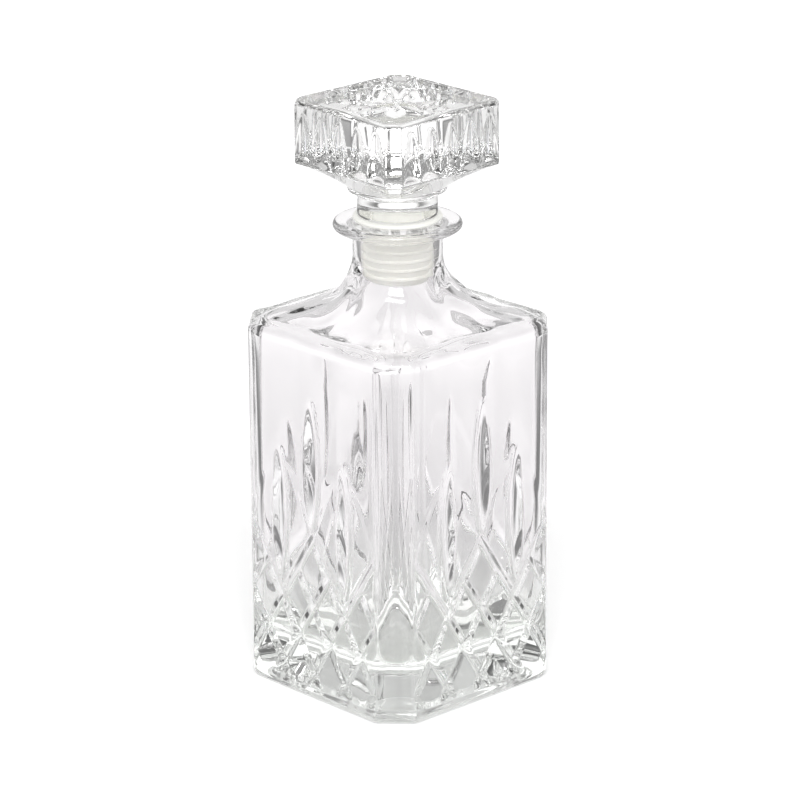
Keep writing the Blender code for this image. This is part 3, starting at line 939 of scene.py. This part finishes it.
def studio_world(settings):
    """A pale room with a bright backdrop behind the decanter and a dark screen at each side."""
    world = bpy.data.worlds.new("pale_room")
    bpy.context.scene.world = world
    world.use_nodes = True
    tree = Tree(world.node_tree)
    direction = tree.add("ShaderNodeTexCoord", {}, {}).outputs["Generated"]
    x, y, z = tree.parts(direction)
    across, away = camera_side_and_depth(tree, x, y, settings.azimuth)
    backdrop = away.rising(settings.backdrop_from, settings.backdrop_soft)
    low = 1.0 - z.rising(settings.screen_top, settings.top_soft)
    right = across.rising(settings.right_screen, settings.side_soft)
    left = (across * -1.0).rising(settings.left_screen, settings.side_soft)
    open_room = settings.room + (settings.backdrop - settings.room) * backdrop
    level = open_room * (1.0 - low * right.at_least(left) * (1.0 - settings.screen))
    background = world.node_tree.nodes["Background"]
    tree.plug(background.inputs["Color"], (*WHITE, 1.0))
    tree.plug(background.inputs["Strength"], level)


def studio_floor(settings, floor_colour):
    """A floor with a painted pool of light: it glows in a wide strip under and behind the decanter, as over
    a light table, and its colour is painted darker beside the strip as painted shade, growing pale again
    far out.
    """
    made, tree, shader = principled("floor_paint", {"Roughness": 0.9, "Specular IOR Level": 0.0})
    place = tree.add("ShaderNodeTexCoord", {}, {}).outputs["Object"]
    x, y, z = tree.parts(place)
    across, away = camera_side_and_depth(tree, x, y, settings.azimuth)
    edge = settings.strip_half + abs(away) * settings.strip_spread
    right = (across - edge) / settings.right_fade
    left = (across * -1.0 - edge) / settings.left_fade
    in_front = (away * -1.0 - settings.strip_front) / settings.left_fade
    # Painted shade beside the strip, where the floor's colour turns darker, and paler floor again far to
    # the sides.
    beyond = abs(across).rising(settings.far_sides, settings.far_width)
    painted_pool = (1.0 - right.at_least(left).at_least(in_front).eased()).at_least(beyond * settings.far_light)
    painted_light_share = painted_pool * (0.98 + 0.02 * tree.noise(place, 4.0, 2.0))
    painted_shade_colour = tuple(part * settings.painted_side_shade for part in floor_colour)
    tree.plug(shader.inputs["Base Color"], tree.blend(painted_light_share, painted_shade_colour, tuple(floor_colour)))
    # Painted light: the floor glows within the strip, more towards its far end.
    painted_glow = painted_pool * (1.0 + away.clamped()) * 0.5
    tree.plug(shader.inputs["Emission Color"], tree.blend(painted_glow, BLACK, WHITE))
    shader.inputs["Emission Strength"].default_value = settings.glow
    mesh = bpy.data.meshes.new("studio_floor")
    corners = [(x * FLOOR_REACH, y * FLOOR_REACH, 0.0) for x, y in ((-1, -1), (1, -1), (1, 1), (-1, 1))]
    mesh.from_pydata(corners, [], [(0, 1, 2, 3)])
    mesh.materials.append(made)
    obj = bpy.data.objects.new("studio_floor", mesh)
    bpy.context.scene.collection.objects.link(obj)


def front_lamp(settings):
    """The soft key light above the camera, whose shadow falls straight behind the decanter."""
    level = settings.lamp_distance * math.cos(settings.lamp_rise)
    height = settings.lamp_distance * math.sin(settings.lamp_rise)
    place = Vector((level * math.sin(settings.azimuth), -level * math.cos(settings.azimuth), height))
    lamp = bpy.data.lights.new("front_lamp", "AREA")
    lamp.shape = "SQUARE"
    lamp.size = settings.lamp_size
    lamp.energy = settings.lamp_power
    obj = bpy.data.objects.new("front_lamp", lamp)
    bpy.context.scene.collection.objects.link(obj)
    obj.location = place
    obj.rotation_euler = (LAMP_AIM - place).to_track_quat("-Z", "Y").to_euler()


def studio_camera(settings):
    a, e, roll = settings.azimuth, settings.elevation, settings.roll
    back = Vector((math.sin(a) * math.cos(e), -math.cos(a) * math.cos(e), math.sin(e)))
    right = Vector((math.cos(a), math.sin(a), 0.0))
    up = back.cross(right)
    turned_right = right * math.cos(roll) + up * math.sin(roll)
    turned_up = up * math.cos(roll) - right * math.sin(roll)
    lens = bpy.data.cameras.new("studio_camera")
    lens.sensor_width = 36.0
    lens.lens = settings.lens
    lens.shift_x = settings.shift
    lens.clip_start = 0.05
    lens.clip_end = 50.0
    obj = bpy.data.objects.new("studio_camera", lens)
    bpy.context.scene.collection.objects.link(obj)
    facing = Matrix((turned_right, turned_up, back)).transposed().to_4x4()
    facing.translation = Vector((0.0, 0.0, settings.target)) + back * settings.distance
    obj.matrix_world = facing
    bpy.context.scene.camera = obj


class DECANTER_OT_studio(Operator):
    """Build the floor with its painted pool of light and painted shade, the soft light and the camera"""

    bl_idname = "decanter.studio"
    bl_label = "Studio"

    def execute(self, context):
        scene = context.scene
        settings = scene.decanter_studio
        studio_world(settings)
        studio_floor(settings, scene.decanter_looks.floor_colour)
        front_lamp(settings)
        studio_camera(settings)
        scene.view_settings.view_transform = "Standard"
        scene.cycles.max_bounces = 32
        scene.cycles.transmission_bounces = 32
        scene.cycles.glossy_bounces = 16
        scene.cycles.diffuse_bounces = 4
        return {"FINISHED"}


# Panel and run


class DECANTER_PT_sidebar(Panel):
    """Lists the builders in the order they run"""

    bl_idname = "DECANTER_PT_sidebar"
    bl_label = "Decanter"
    bl_space_type = "VIEW_3D"
    bl_region_type = "UI"
    bl_category = "Decanter"

    def draw(self, context):
        for builder in BUILDERS:
            self.layout.operator(builder.bl_idname)


BUILDERS = (DECANTER_OT_studio, DECANTER_OT_bottle, DECANTER_OT_stopper, DECANTER_OT_seal)
SETTINGS = {
    "decanter_bottle": BottleSizes,
    "decanter_cuts": CutSizes,
    "decanter_stopper": StopperSizes,
    "decanter_seal": SealSizes,
    "decanter_looks": Finishes,
    "decanter_studio": StudioSettings,
}


def register():
    for kind in (*SETTINGS.values(), *BUILDERS, DECANTER_PT_sidebar):
        bpy.utils.register_class(kind)
    for name, kind in SETTINGS.items():
        setattr(bpy.types.Scene, name, PointerProperty(type=kind))


def unregister():
    for name in SETTINGS:
        delattr(bpy.types.Scene, name)
    for kind in (DECANTER_PT_sidebar, *reversed(BUILDERS), *SETTINGS.values()):
        bpy.utils.unregister_class(kind)


def main():
    register()
    for builder in BUILDERS:
        group, name = builder.bl_idname.split(".")
        getattr(getattr(bpy.ops, group), name)()


if __name__ == "__main__":
    main()
